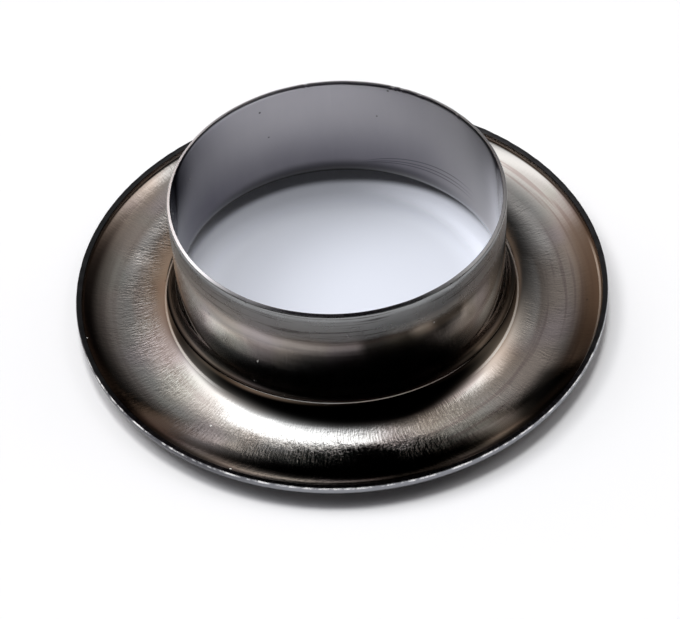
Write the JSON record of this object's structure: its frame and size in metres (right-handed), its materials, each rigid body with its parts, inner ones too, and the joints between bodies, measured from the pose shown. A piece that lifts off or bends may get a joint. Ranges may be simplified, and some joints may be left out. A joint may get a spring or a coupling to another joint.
{
  "type": "eyelet",
  "caption": "Stamped sheet-metal eyelet: an open barrel on a dished flange with a turned-up lip, for lining a punched hole in cloth.",
  "frame": {"origin": "on the axis of the barrel, level with the surface that the domed face rests on", "axes": "+Z along the axis, from the face towards the barrel's open rim"},
  "size_m": [0.0236, 0.0236, 0.0066],
  "materials": {
    "plated_metal": "dark nickel plate, bright, with drawing marks"
  },
  "bodies": {
    "root": {"eyelet": "plated_metal"}
  },
  "joints": []
}
